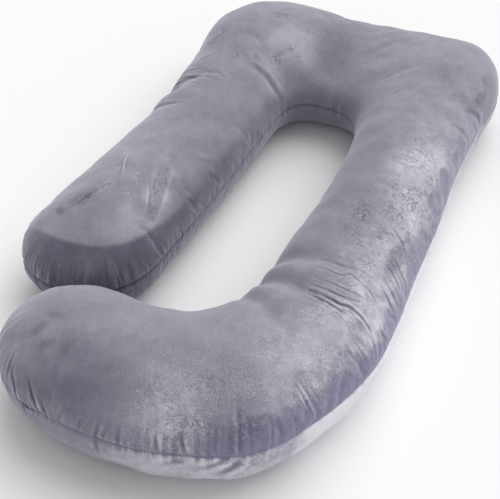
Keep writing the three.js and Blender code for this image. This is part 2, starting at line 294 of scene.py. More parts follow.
# Patches of the velvet, by the value that they change and by panel. A patch is an oval round its
# place, length by width in millimetres, with its length turned that many degrees from along the
# tube. soft is the share of it that fades.
Patch = namedtuple("Patch", "share girth length width soft amount turn", defaults=(0,))
PATCHED = ("nap", "crushed", "marks", "ragged", "fibres")
PATCHES = {
# Where the nap was brushed, with painted highlights on crowns and bulges and painted shade on
# slopes
# and in hollows: an amount below 0 is darker, and above 0 lighter.
("nap", UPPER): (
    # Along the long arm.
    # painted highlight along the long arm's crown, where the light falls
    (0.61, 0.38, 560, 170, 0.8, 0.19),
    (0.59, 0.46, 170, 90, 0.9, 0.08),
    (0.648, 0.5, 120, 70, 0.9, 0.08),
    (0.6, 0.1, 150, 90, 0.9, 0.1),
    (0.705, 0.25, 200, 140, 0.8, 0.13),
    # painted shade on the long arm's inner slope, turned away from the light
    (0.65, -0.15, 480, 140, 0.8, -0.07),
    (0.605, 0.66, 110, 44, 0.5, -0.08),
    (0.665, 0.7, 120, 36, 0.5, -0.06),
    (0.6942, 0.48, 80, 46, 0.5, -0.06, -20),
    (0.703, 0.66, 210, 60, 0.8, 0.08),
    (0.626, 0.0, 110, 80, 0.9, 0.06),
    (0.646, 0.5, 80, 60, 0.9, 0.05),
    (0.563, 0.3, 150, 120, 0.9, -0.055),
    (0.585, 0.14, 70, 60, 0.9, -0.05),
    (0.638, 0.22, 90, 60, 0.9, 0.05),
    # The long arm's top.
    (0.502, 0.42, 130, 90, 0.9, 0.05),
    (0.49, 0.05, 120, 100, 0.9, -0.05),
    # The knee.
    (0.735, 0.48, 170, 110, 0.8, 0.15),
    (0.785, 0.28, 300, 170, 0.8, 0.15),
    (0.748, 0.66, 100, 60, 0.8, 0.12),
    # The turn into the hook.
    (0.807, 0.5, 170, 130, 0.9, 0.09),
    (0.811, 0.37, 70, 60, 0.9, -0.07),
    (0.8275, 0.6, 80, 60, 0.9, 0.08),
    (0.792, 0.88, 260, 80, 0.9, -0.06),
    (0.835, 0.75, 190, 80, 0.6, -0.12),
    (0.845, 0.45, 110, 110, 0.8, -0.08),
    # The hook.
    (0.873, 0.3, 170, 140, 0.9, 0.11),
    (0.876, 0.62, 160, 90, 0.8, 0.13),
    (0.868, 0.05, 260, 130, 0.9, -0.06),
    (0.914, 0.38, 200, 180, 0.8, -0.19),
    (0.945, 0.45, 130, 110, 0.8, -0.1),
    (0.955, 0.0, 200, 150, 0.8, -0.05),
    (0.9593, 0.159, 46, 24, 0.7, -0.14, 70),
    (0.9794, 0.254, 34, 22, 0.7, -0.16, 20),
    (0.9545, 0.016, 44, 22, 0.7, -0.1),
    (0.947, 0.254, 40, 24, 0.7, -0.1, 60),
    # The short arm.
    (0.11, 0.2, 280, 120, 0.9, 0.06),
    (0.15, 0.1, 200, 150, 0.9, 0.04),
    (0.05, 0.02, 150, 130, 0.9, -0.1),
    (0.092, -0.36, 170, 60, 0.8, 0.2, 21),
    (0.055, -0.28, 120, 60, 0.9, 0.08, 30),
    (0.0415, 0.225, 30, 18, 0.5, -0.2, 60),
    (0.056, 0.16, 44, 24, 0.8, -0.12),
    (0.0925, -0.34, 150, 30, 0.15, -0.12, 21),
    (0.13, -0.7, 280, 70, 0.8, -0.12),
    # The corner and the head end.
    # painted highlight on the corner's hump
    (0.326, -0.28, 150, 140, 0.4, 0.11),
    (0.275, 0.1, 160, 150, 0.8, -0.03),
    # painted shadow in the head hollow
    (0.379, -0.12, 110, 150, 0.9, -0.15),
    (0.27, -0.22, 80, 26, 0.5, -0.08, 60),
    (0.45, 0.1, 300, 180, 0.9, 0.03),
), ("nap", LOWER): (
    (0.9, 0.85, 160, 60, 0.7, 0.06),  # under the hook
),
# Where the velvet was crushed, so that it has flecks, wisps and a coarser grain.
("crushed", UPPER): (
    (0.64, 0.42, 800, 190, 0.5, 1.0),  # long arm outer half
    (0.775, 0.3, 420, 260, 0.6, 0.6),  # knee and turn
    (0.68, 0.02, 150, 130, 0.3, 0.8),  # long arm inner half
    (0.8, 0.8, 380, 110, 0.5, 0.6),  # turn edge
    (0.86, 0.35, 330, 230, 0.7, 0.6),  # hook middle
    (0.87, 0.8, 420, 90, 0.6, 0.6),  # hook edge
    (0.96, 0.2, 220, 220, 0.8, 0.35),  # hook end
    (0.47, 0.2, 400, 200, 0.8, 0.5),  # head end
    (0.29, 0.1, 260, 200, 0.8, 0.35),  # corner top
    (0.07, 0.0, 200, 200, 0.9, 0.3),  # short arm
), ("crushed", LOWER): (
    (0.8, 0.8, 700, 200, 0.6, 0.4),  # under the turn
    (0.88, 0.8, 500, 160, 0.6, 0.7),  # under the hook
),
# Where the nap was pressed into clusters of short dark strokes.
("marks", UPPER): (
    (0.671, 0.02, 60, 32, 0.8, 1, 30),  # long arm
    (0.634, 0.34, 60, 36, 0.8, 1, 20),  # long arm
    (0.682, 0.27, 44, 30, 0.8, 0.8, -30),  # long arm
    (0.655, 0.3, 70, 40, 0.8, 0.6),  # long arm
    (0.61, 0.5, 80, 40, 0.8, 0.7),  # long arm
    (0.262, -0.02, 34, 24, 0.8, 0.8),  # corner
    (0.333, -0.41, 34, 24, 0.8, 0.8),  # corner
    (0.325, -0.3, 50, 16, 0.8, 0.8, 20),  # corner
    (0.333, 0.03, 70, 16, 0.8, 0.8),  # corner
    (0.276, 0.26, 100, 34, 0.8, 0.55),  # corner
    (0.282, -0.21, 40, 20, 0.8, 0.8, 60),  # corner
    (0.302, -0.33, 40, 70, 0.8, 0.5),  # corner
    (0.812, 0.7, 60, 40, 0.8, 0.7),  # turn
    (0.8378, 0.64, 70, 60, 0.8, 0.7),  # turn
    (0.857, 0.6, 60, 34, 0.8, 0.6),  # hook
    (0.0925, -0.34, 150, 30, 0.3, 0.5, 21),  # short arm band
    (0.062, 0.09, 110, 16, 0.8, 0.5),  # short arm line
), ("marks", LOWER): (
    (0.83, 0.9, 200, 60, 0.6, 0.2),  # under the turn
),
# Where the nap was pushed over in ragged dark patches.
("ragged", UPPER): (
    (0.596, 0.72, 90, 70, 0.7, 0.55),  # long arm edge
    (0.624, 0.6, 70, 40, 0.7, 0.45),  # long arm edge
    (0.686, 0.47, 120, 50, 0.7, 0.45, -10),  # long arm edge
    (0.708, 0.5, 90, 60, 0.7, 0.32),  # long arm edge
    (0.57, 0.75, 60, 40, 0.7, 0.45),  # long arm edge
    (0.498, 0.52, 60, 50, 0.7, 0.45, 30),  # head corner
    (0.513, 0.6, 80, 40, 0.7, 0.45),  # head corner
    (0.765, 0.7, 160, 60, 0.9, 0.25),  # knee edge
    (0.268, 0.3, 130, 50, 0.9, 0.38, -20),  # corner edge
    (0.274, -0.25, 100, 24, 0.9, 0.34, 40),  # corner edge
    (0.331, 0.06, 70, 24, 0.9, 0.4),  # corner top
    (0.303, -0.36, 30, 90, 0.9, 0.3),  # hump edge
    (0.06, 0.09, 130, 30, 0.7, 0.42, 8),  # short arm line
    (0.835, 0.6, 120, 60, 0.7, 0.4),  # turn
),
# Where short light fibres lie on the nap.
("fibres", UPPER): (
    (0.085, -0.08, 200, 130, 0.8, 1),  # short arm
    (0.6, 0.2, 260, 120, 0.8, 0.5),  # long arm
    (0.27, 0.0, 120, 120, 0.8, 0.4),  # corner
),
}
PATCH_THICKNESS = 160  # the least, in millimetres, so that it holds the cloth's curve
RAG = 0.09  # how far a patch's rim wanders, as a share of its size
RAG_WAVES = ((26 * MM, 70, 24), (60 * MM, 71, RIPPLE_WAVES))  # length, seed, number of waves
CRISP = 0.3  # a patch that fades over less than this is a rectangle with rounded corners
OVAL_POWER, CRISP_POWER = 2, 5
EDGE_MARGIN = 0.001  # how far inside a panel's last column a place on it stays, in columns

# The painted shade where the cloth faces down beside the seam, by share of the middle line: how
# far from the seam it reaches, in millimetres, its amount, and the share of its reach that fades.
Shade = namedtuple("Shade", "share reach amount soft")
SHADES = ((
    # Beside the outer seam.
    Shade(0.0, 100, -0.33, 0.06), Shade(0.016, 88, -0.27, 0.1), Shade(0.026, 66, -0.1, 0.2),
    Shade(0.06, 50, -0.06, 0.3), Shade(0.5, 40, 0, 0.3), Shade(0.6, 50, -0.04, 0.3),
    Shade(0.78, 50, -0.06, 0.3), Shade(0.83, 50, -0.08, 0.3), Shade(0.88, 40, -0.04, 0.3),
    Shade(1.0, 80, -0.15, 0.3),
), (
    # Beside the inner seam.
    Shade(0.0, 100, -0.33, 0.06), Shade(0.024, 89, -0.36, 0.1), Shade(0.04, 80, -0.36, 0.1),
    Shade(0.06, 70, -0.3, 0.1), Shade(0.08, 62, -0.25, 0.2), Shade(0.12, 60, -0.15, 0.3),
    Shade(0.3, 60, -0.08, 0.3), Shade(0.7, 60, -0.08, 0.3), Shade(1.0, 80, -0.15, 0.3),
))

# How dark the painted shade in the seam's groove is, and how far that reaches.
SEAM_GROOVE_SHADE, SEAM_GROOVE_SHADE_REACH = 0.2, 3 * MM

# The painted shade and painted highlights of the gathers' folds: the share of them that is left on
# the lower panel away from the seam, and how far from it they stay strong there.
STREAKS_BELOW, STREAKS_BELOW_REACH = 0.2, 14 * MM
PLEATED_DEPTHS = (2.6, 4.2)  # the painted pleat highlights show on gathers deeper than the first, fully from the second
RELIEF_UNIT = 3 * MM  # the height that counts as 1 for the velvet

# How pale the lower panel looks beside the outer seam, by share of the middle line.
PALE_SHARES = (0.0, 0.5, 0.6, 0.7, 0.808, 0.818, 0.843, 0.875, 0.9, 0.92, 1.0)
PALE_TONES = (0.0, 0.25, 0.7, 1.0, 1.0, 0.55, 0.52, 0.48, 0.25, 0.0, 0.0)

# How violet the velvet looks beside the outer seam, by share of the middle line.
VIOLET_SHARES = (0.0, 0.5, 0.6, 0.72, 0.82, 0.87, 0.92, 1.0)
VIOLET_TONES = (0.1, 0.2, 0.7, 0.9, 1.0, 0.5, 0.2, 0.1)
VIOLET_REACH = 120 * MM

# Where the points of a panel lie: how far along the middle line, how far across in plan, how near
# the seam, and how far round from crown to seam.
Places = namedtuple("Places", "distance across reach girth")

# The seam's points in order round the pillow, their shares of the middle line, and their sides.
Seam = namedtuple("Seam", "points shares sides")

# A panel in the making: which way it faces, its places, their shares of the middle line, how far
# they are from the seam, and at which point of the seam, in its order, they are nearest to it.
Panel = namedtuple("Panel", "out places shares away stitch seam")

# The noises of the velvet: how fine, how detailed, how rough and how twisted, then two levels of
# the noise and the tones that they get.
Speckle = namedtuple("Speckle", "scale detail roughness distortion low high at_low at_high")
DRIFT = Speckle(4, 3, 0.5, 0, 0.3, 0.7, -0.035, 0.035)
MOTTLE = Speckle(34, 5, 0.65, 0.4, 0.35, 0.65, -0.03, 0.03)
GRAIN = Speckle(430, 1, 0.6, 0, 0.34, 0.66, -0.085, 0.085)
CLUSTERS = Speckle(12, 3, 0.6, 0, 0.42, 0.6, 0, 1)
FLECKS = Speckle(120, 6, 0.75, 1, 0.52, 0.57, 0.02, -0.28)
RAGGED = Speckle(90, 6, 0.8, 1, 0.82, 0.98, 0, -0.17)
FIBRE_SPOTS = Speckle(45, 2, 0.5, 0, 0.52, 0.58, 0, 1)
VIOLET_BREAKS = Speckle(24, 7, 0.8, 0.5, 0.46, 0.54, 0, 1)
# The painted shade and painted highlights of the gathers' folds.
GATHER_SHADING_NOISE = Speckle(1, 4, 0.6, 0.5, 0.4, 0.6, -0.16, 0.08)
PATCHY = Speckle(8, 2, 0.5, 0, 0.4, 0.6, 0.2, 1)

# The thin wandering lines of the velvet: how fine, how detailed and how twisted, then half the
# width of a line, its tone, and the tone beside it.
Lines = namedtuple("Lines", "scale detail distortion width tone beside")
LINE_ROUGHNESS = 0.6
WISPS = Lines(1, 4, 1.2, 0.022, -0.15, 0.03)
FIBRES = Lines(30, 2, 1.5, 0.018, 0.3, 0)
# Painted highlights on the ridges of the deep gathers, with painted shade between them.
PLEAT_HIGHLIGHTS = Lines(1, 1, 0.5, 0.04, 0.36, -0.06)

# How fine the wisps, the painted shading of the gathers and the painted pleat highlights are along
# the tube or the seam, and across it.
WISP_STRETCH = (60, 24, 1)
STREAK_STRETCH = (70, 9, 1)
PLEAT_STRETCH = (62, 5, 1)

# How the tones add up, from 0, deep, to 1, light. Four values together are two levels and what
# they turn into.
SMOOTH_GRAIN = 0.45  # the share of the grain that shows where the velvet isn't crushed
CLUSTER_FLECKS = 0.5  # how strong the flecks of crushed velvet are, beside the marked ones
RELIEF_SHADING = 0.14  # painted highlight on the relief: how much lighter a ridge is painted
MIDDLE_TONE = 0.5
VIOLET_TONE = -0.16
BROKEN_VIOLET = 0.3  # the share of the violet that is broken up
VIOLET_BY_TONE = (0.25, 0.85, 1, 0.1)
PALE_CONTRAST = 1.5  # how strongly the nap's marks and the painted shade and highlights show on the pale cloth
PALE_SPREAD = (0.1, 0.95, 0, 1)
COLOUR_STOPS = {"deep": 0.0, "dark": 0.25, "main": 0.5, "light": 0.9}
VELVET = {
    "Roughness": 0.9, "Specular IOR Level": 0.2, "Sheen Weight": 0.6, "Sheen Roughness": 0.45,
    "Sheen Tint": (0.9, 0.9, 1.0, 1),
}
PILE_BUMP = {"Strength": 0.6, "Distance": 5 * MM}

# The studio.
FLOOR_REACH = 8
FLOOR_ROUGHNESS = 0.9
KEY_SIDE = (0.25, 0.75, 1.0)  # where the light comes from
KEY_WIDTH = math.radians(70)
CAMERA_PLACE = (0.754, -1.7655, 1.88)
CAMERA_TURN = (math.radians(45), 0, math.radians(23.5))


class PillowSizes(bpy.types.PropertyGroup):
    """How firmly the pillow is filled and how its cloth is gathered"""

    firmness: FloatProperty(
        name="Firmness", description="The filling's pressure on the panels",
        default=4, min=0, soft_max=12,
    )
    slack: FloatProperty(
        name="Slack", description="How much longer the cloth is cut than the skin it covers",
        default=0.004, min=0, max=0.1, subtype="FACTOR",
    )
    swell: FloatProperty(
        name="Swell", description="The furthest that a point of cloth may move as it fills",
        default=0.02, min=0, max=0.03, unit="LENGTH",
    )
    fill_steps: IntProperty(
        name="Filling steps", description="How many steps the filling takes to settle",
        default=22, min=1, max=60,
    )
    gathers: FloatProperty(
        name="Gathers", description="How strongly the cloth is gathered beside the seam",
        default=1, min=0, max=2,
    )
    lumps: FloatProperty(
        name="Lumps", description="How uneven the filling is",
        default=1.3 * MM, min=0, max=5 * MM, unit="LENGTH",
    )


class VelvetColours(bpy.types.PropertyGroup):
    """The colours of the velvet as its nap leans to the light or away, painted highlight to
    painted shade
    """

    deep: FloatVectorProperty(
        name="Deep", description="The nap in creases and brushed away from the light",
        default=(0.07, 0.065, 0.09), subtype="COLOR", min=0, max=1,
    )
    dark: FloatVectorProperty(
        name="Dark", description="The nap brushed away from the light",
        default=(0.15, 0.14, 0.186), subtype="COLOR", min=0, max=1,
    )
    main: FloatVectorProperty(
        name="Main", description="The colour of most of the velvet",
        default=(0.262, 0.255, 0.302), subtype="COLOR", min=0, max=1,
    )
    light: FloatVectorProperty(
        name="Light", description="The nap brushed towards the light",
        default=(0.553, 0.545, 0.618), subtype="COLOR", min=0, max=1,
    )
    violet: FloatVectorProperty(
        name="Violet", description="The nap beside the outer seam of the long arm",
        default=(0.235, 0.228, 0.365), subtype="COLOR", min=0, max=1,
    )
    pale: FloatVectorProperty(
        name="Pale", description="The smooth nap of the lower panel",
        default=(0.82, 0.82, 0.88), subtype="COLOR", min=0, max=1,
    )


class StudioLook(bpy.types.PropertyGroup):
    """The floor, the light and the camera"""

    floor: FloatVectorProperty(
        name="Floor", description="The colour of the floor",
        default=(0.9, 0.9, 0.9), subtype="COLOR", min=0, max=1,
    )
    key: FloatProperty(
        name="Key light", description="The strength of the soft light above the head end",
        default=2.1, min=0,
    )
    room: FloatProperty(
        name="Room light", description="The brightness of the white room", default=0.55, min=0,
    )
    lens: FloatProperty(
        name="Lens", description="The camera's focal length",
        default=86.54, min=1, unit="CAMERA",
    )


def rib_values(pick):
    return np.array([pick(rib) for rib in RIBS], dtype=float) * MM


OUTER_EDGE = rib_values(lambda rib: (*rib.outer, rib.outer_seam))
INNER_EDGE = rib_values(lambda rib: (*rib.inner, rib.inner_seam))
CROWN_LINE = rib_values(lambda rib: (rib.crown,))


def smooth_curve(controls, shares):
    """Points of the smooth curve through the controls, at shares of it from 0 to 1."""
    first, last = 2 * controls[:1] - controls[1:2], 2 * controls[-1:] - controls[-2:-1]
    padded = np.concatenate([first, controls, last])
    spans = len(controls) - 1
    place = np.clip(shares, 0, 1) * spans
    span = np.clip(place.astype(int), 0, spans - 1)
    w = (place - span).reshape(shares.shape + (1,) * (controls.ndim - 1))
    before, start, end, after = (padded[span + k] for k in range(4))
    leave, arrive = (end - before) / 2, (after - start) / 2
    bend = -3 * start + 3 * end - 2 * leave - arrive
    twist = 2 * start - 2 * end + leave + arrive
    return start + leave * w + bend * w**2 + twist * w**3


def measure_middle():
    """The middle line's length at evenly spaced shares of the edge curves."""
    shares = np.linspace(0, 1, MEASURE_STEPS + 1)
    middle = (smooth_curve(OUTER_EDGE, shares) + smooth_curve(INNER_EDGE, shares)) / 2
    strides = np.linalg.norm(np.diff(middle, axis=0), axis=1)
    return np.concatenate([[0], np.cumsum(strides)])


MEASURED = measure_middle()
MIDDLE_LENGTH = MEASURED[-1]


def station_distances(count):
    """Distances of the rows along the middle line, closer together at the knee and the ends."""
    even = np.linspace(0, 1, MEASURE_STEPS + 1)
    density = np.interp(even, WEAVE_SHARES, WEAVE_DENSITIES)
    rows = np.concatenate([[0], np.cumsum((density[:-1] + density[1:]) / 2)])
    place = np.interp(np.linspace(0, 1, count + 1), rows / rows[-1], even)
    arm, hook = (length * (1 - np.cos(np.minimum(share / END_STATIONS_SHARE, 1) * QUARTER_TURN))
                 for length, share in ((ARM_END, place), (HOOK_END, 1 - place)))
    tube_share = (place - END_STATIONS_SHARE) / (1 - 2 * END_STATIONS_SHARE)
    tube = ARM_END + tube_share * (MIDDLE_LENGTH - ARM_END - HOOK_END)
    ends = np.where(place < 0.5, arm, MIDDLE_LENGTH - hook)
    return np.where((tube_share > 0) & (tube_share < 1), tube, ends)


def panel_places(grid):
    """Where each point of a panel lies. At the ends the rows curve round along the seam."""
    rows = station_distances(grid[0])[:, None]
    girth = np.linspace(-1, 1, grid[1] + 1)[None, :]
    sine, cosine = np.sin(girth * QUARTER_TURN), np.cos(girth * QUARTER_TURN)
    in_arm = rows < MIDDLE_LENGTH / 2
    end_length = np.where(in_arm, ARM_END, HOOK_END)
    from_end = np.where(in_arm, rows, MIDDLE_LENGTH - rows)
    across = np.sign(sine) * np.abs(sine) ** (2 / END_POWER)
    set_back = end_length * (1 - np.abs(cosine) ** (2 / END_POWER))
    shifted = from_end + set_back * np.maximum(0, 1 - from_end / (END_SPREAD * end_length))
    in_end = np.maximum(0, 1 - shifted / end_length)
    reach = (np.abs(across) ** END_POWER + in_end**END_POWER) ** (1 / END_POWER)
    distance = np.where(in_arm, shifted, MIDDLE_LENGTH - shifted)
    across, girth = (np.broadcast_to(value, distance.shape) for value in (across, girth))
    return Places(distance, across, np.minimum(1, reach), girth)


def fullness(reach, power):
    return np.sqrt(np.maximum(0, 1 - reach**power))


def skin_points(places, out):
    """The points of the filled tube's skin, on its upper or its lower panel."""
    shares = np.interp(places.distance, MEASURED, np.linspace(0, 1, MEASURE_STEPS + 1))
    outer, inner = smooth_curve(OUTER_EDGE, shares), smooth_curve(INNER_EDGE, shares)
    half_width = np.linalg.norm(outer - inner, axis=-1) / 2
    drawn_in = SEAM_DRAW * places.reach**SEAM_SHARPNESS / half_width
    mix = (1 + places.across * (1 - drawn_in)) / 2
    points = inner + (outer - inner) * mix[..., None]
    seam = points[..., 2].copy()
    if out == UPPER:
        crown = smooth_curve(CROWN_LINE, shares)[..., 0]
        points[..., 2] = seam + (crown - seam) * fullness(places.reach, UPPER_FULLNESS)
    else:
        fall = np.minimum(1, FLATTENING * fullness(places.reach, LOWER_FULLNESS))
        points[..., 2] = seam * (1 - fall)
    return points


def grid_normals(points):
    """The unit normals of a grid of points, upward on a panel that lies flat."""
    along, across = np.gradient(points, axis=0), np.gradient(points, axis=1)
    normals = np.cross(along, across)
    return normals / np.maximum(np.linalg.norm(normals, axis=-1, keepdims=True), TINY)


def fold_depths(places):
    """How deep the soft folds press at each place."""
    here = np.stack([places.distance / MM, places.across * FOLD_HALF_WIDTH], axis=-1)
    total = np.zeros(places.distance.shape)
    for fold in FOLDS:
        start, end = (np.array([share * MIDDLE_LENGTH / MM, across * FOLD_HALF_WIDTH])
                      for share, across in (fold.start, fold.end))
        run = end - start
        part = np.clip((here - start) @ run / (run @ run), 0, 1)
        away = np.linalg.norm(here - start - part[..., None] * run, axis=-1)
        total += fold.depth * MM * (1 - part**2) * np.exp(-((away / fold.width) ** 2))
    return total


def filled_skin(grid):
    """The points of both panels with their soft folds, set in the solid's box."""
    places = panel_places(grid)
    upper, lower = skin_points(places, UPPER), skin_points(places, LOWER)
    depths = fold_depths(places) * (1 - places.reach**FOLD_RUNOUT)
    upper -= grid_normals(upper) * depths[..., None]
    low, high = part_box(NODE)
    for axis in (0, 1):
        middle = (upper[..., axis].min() + upper[..., axis].max()) / 2
        shift = (low[axis] + high[axis]) / 2 - middle
        upper[..., axis] += shift
        lower[..., axis] += shift
    return upper, lower


def quad_faces(ids, out):
    """The faces between rows and columns of points, facing the way that the panel does."""
    corners = (ids[:-1, :-1], ids[1:, :-1], ids[1:, 1:], ids[:-1, 1:])
    quads = np.stack([corner.ravel() for corner in corners], axis=1)
    return quads[:, ::out]


def mesh_object(name, points, faces):
    """A new object with these points and four-cornered faces, shaded smooth."""
    mesh = bpy.data.meshes.new(name)
    mesh.vertices.add(len(points))
    mesh.vertices.foreach_set("co", np.ascontiguousarray(points, dtype=np.float32).ravel())
    mesh.loops.add(faces.size)
    mesh.loops.foreach_set("vertex_index", np.ascontiguousarray(faces, dtype=np.int32).ravel())
    mesh.polygons.add(len(faces))
    mesh.polygons.foreach_set("loop_start", np.arange(0, faces.size, 4, dtype=np.int32))
    mesh.update(calc_edges=True)
    mesh.polygons.foreach_set("use_smooth", np.ones(len(faces), dtype=bool))
    made = bpy.data.objects.new(name, mesh)
    bpy.context.scene.collection.objects.link(made)
    return made


def blow_up(cover, sizes):
    """The points of a cover after its filling has settled as cloth."""
    scene = bpy.context.scene
    cloth = cover.modifiers.new("filling", "CLOTH")
    for name, value in CLOTH.items():
        setattr(cloth.settings, name, value)
    cloth.settings.vertex_group_mass = cover.vertex_groups[0].name
    cloth.settings.uniform_pressure_force = sizes.firmness
    cloth.settings.shrink_min = cloth.settings.shrink_max = -sizes.slack
    cloth.settings.effector_weights.gravity = 0
    cloth.collision_settings.use_collision = False
    cloth.point_cache.frame_start = 1
    cloth.point_cache.frame_end = sizes.fill_steps
    for step in range(1, sizes.fill_steps + 1):
        scene.frame_set(step)
    filled = cover.evaluated_get(bpy.context.evaluated_depsgraph_get()).data
    points = np.empty(len(filled.vertices) * 3, dtype=np.float32)
    filled.vertices.foreach_get("co", points)
    scene.frame_set(1)
    return points.reshape(-1, 3)


def fill_cover(upper, lower, sizes):
    """Sews the two panels into one closed cover, fills it, and gives both back."""
    rows, columns = upper.shape[:2]
    upper_ids = np.arange(rows * columns).reshape(rows, columns)
    lower_ids = upper_ids.copy()
    inside = np.arange((rows - 2) * (columns - 2)).reshape(rows - 2, columns - 2)
    lower_ids[1:-1, 1:-1] = rows * columns + inside
    start = np.concatenate([upper.reshape(-1, 3), lower[1:-1, 1:-1].reshape(-1, 3)])
    faces = np.concatenate([quad_faces(upper_ids, UPPER), quad_faces(lower_ids, LOWER)])
    cover = mesh_object("cover_fitting", start, faces)

    seam = np.ones((rows, columns), dtype=bool)
    seam[1:-1, 1:-1] = False
    on_floor = np.flatnonzero(start[:, 2] < FLOOR_TOUCH)
    held = cover.vertex_groups.new(name="held")
    held.add([int(i) for i in (*upper_ids[seam], *on_floor)], 1.0, "REPLACE")
    moved = blow_up(cover, sizes) - start
    bpy.data.objects.remove(cover)

    length = np.linalg.norm(moved, axis=1, keepdims=True)
    moved *= np.minimum(1, sizes.swell / np.maximum(length, TINY))
    points = start + moved
    points[:, 2] = np.maximum(points[:, 2], 0)
    return points[upper_ids], points[lower_ids]


def finer(points, grid):
    """The same surface with more points, by smooth curves through its rows and columns."""
    for axis, count in enumerate(grid):
        lines = np.moveaxis(points, axis, 0)
        points = np.moveaxis(smooth_curve(lines, np.linspace(0, 1, count + 1)), 0, axis)
    return points


def ripples(points, wavelength, seed, waves=RIPPLE_WAVES):
    """A smooth random height from about -1 to 1 at each point, with ripples of that length."""
    draw = np.random.default_rng(seed)
    directions = draw.normal(size=(waves, 3))
    directions /= np.linalg.norm(directions, axis=1, keepdims=True)
    lengths = wavelength * draw.uniform(*RIPPLE_SPREAD, waves)
    phases = draw.uniform(0, 2 * math.pi, waves)
    turns = points @ (directions * (2 * math.pi / lengths)[:, None]).T + phases
    return np.sin(turns).sum(axis=-1) / math.sqrt(waves)


def ease(value, low, high):
    """0 below low and 1 above high, with a smooth step between."""
    w = np.clip((value - low) / (high - low), 0, 1)
    return w * w * (3 - 2 * w)


def bell(value):
    return np.exp(-(value**2))


def seam_ring(points, shares):
    """The seam that both panels share, from the end of the short arm and back to it."""
    half = points.shape[1] // 2
    lines = (
        ((0, slice(half, None)), 1), ((slice(1, None), -1), 1),
        ((-1, slice(-2, half - 1, -1)), 1), ((-1, slice(half - 1, None, -1)), -1),
        ((slice(-2, None, -1), 0), -1), ((0, slice(1, half)), -1),
    )
    ring = np.concatenate([points[place] for place, _ in lines])
    ring_shares = np.concatenate([shares[place] for place, _ in lines])
    sides = np.concatenate([np.full(len(shares[place]), side) for place, side in lines])
    return Seam(ring, ring_shares, sides)


def nearest_stitches(points, ring):
    """How far each point is from the seam, and where on the ring its nearest point lies."""
    tree = KDTree(len(ring))
    for i, point in enumerate(ring):
        tree.insert(point, i)
    tree.balance()
    flat = points.reshape(-1, 3)
    nearest = np.fromiter((tree.find(point)[1] for point in flat), dtype=int, count=len(flat))
    best, stitch = np.full(len(flat), np.inf), np.zeros(len(flat))
    for step in (-1, 0):
        first = (nearest + step) % len(ring)
        start, end = ring[first], ring[(first + 1) % len(ring)]
        run = end - start
        part = np.clip(((flat - start) * run).sum(1) / np.maximum((run**2).sum(1), TINY), 0, 1)
        away = np.linalg.norm(flat - start - part[:, None] * run, axis=1)
        closer = away < best
        best[closer], stitch[closer] = away[closer], (first + part)[closer]
    return best.reshape(points.shape[:2]), stitch.reshape(points.shape[:2])


def beside_seam(stitch, seam, tables, field):
    """A table's value at each point, by the side and share of its nearest stitch."""
    by_side = (np.interp(seam.shares, [row.share for row in table],
                         [getattr(row, field) for row in table]) for table in tables)
    values = np.where(seam.sides > 0, *by_side)
    return np.interp(stitch, np.arange(len(values) + 1), np.append(values, values[0]))


def ridge_heights(phase, away, reach, depth, seed):
    """Rounded ridges side by side, each with its own height and reach from the seam."""
    count = int(phase.max()) + 2
    draw = np.random.default_rng(seed)
    heights, reaches = draw.uniform(*RIDGE_HEIGHTS, count), draw.uniform(*RIDGE_REACHES, count)
    ridge = np.clip(phase.astype(int), 0, count - 1)
    within = phase - ridge
    profile = np.sqrt(np.maximum(0, 4 * within * (1 - within)))
    return depth * heights[ridge] * profile * bell(away / (reach * reaches[ridge]))


def gather_heights(points, panel, seed):
    """How far the gathered cloth beside the seam stands out at each point."""
    ring, away, stitch = panel.seam.points, panel.away, panel.stitch
    knots = np.arange(len(ring) + 1)
    pitch, depth, reach = (
        beside_seam(where, panel.seam, GATHERS, field) * MM
        for where, field in ((knots[:-1], "pitch"), (stitch, "depth"), (stitch, "reach"))
    )
    strides = np.linalg.norm(np.roll(ring, -1, axis=0) - ring, axis=1)
    here = np.interp(stitch, knots, np.concatenate([[0], np.cumsum(strides / pitch)]))
    here += ripples(points, WANDER_WAVE, seed) * ease(away, 0, WANDER_START) * GATHER_WANDER
    fine = ridge_heights(here + 1, away, reach, depth, seed + 1)
    wide = ridge_heights(here / WIDE_GATHER + 1, away, reach * WIDE_GATHER_REACH,
                         depth * WIDE_GATHER_DEPTH, seed + 2)
    return (fine + wide) * ease(away, 0, GATHER_FLAT)


def cloth_line(points, shares, line, count):
    """Points of a smooth line on a panel, through places given as share and girth."""
    drawn = smooth_curve(np.array(line), np.linspace(0, 1, count))
    last = points.shape[1] - 1
    columns = np.clip((drawn[:, 1] + 1) / 2 * last, 0, last - EDGE_MARGIN)
    left = columns.astype(int)
    part = (columns - left)[:, None]
    lines = shares.T[left] * (1 - part) + shares.T[left + 1] * part
    rows = np.array([np.interp(share, line, np.arange(len(line)))
                     for share, line in zip(drawn[:, 0], lines)])
    back = np.minimum(rows.astype(int), len(shares) - 2)
    rest = (rows - back)[:, None]
    near, far = (points[back + k, left] * (1 - part) + points[back + k, left + 1] * part
                 for k in (0, 1))
    return near * (1 - rest) + far * rest, rows, columns


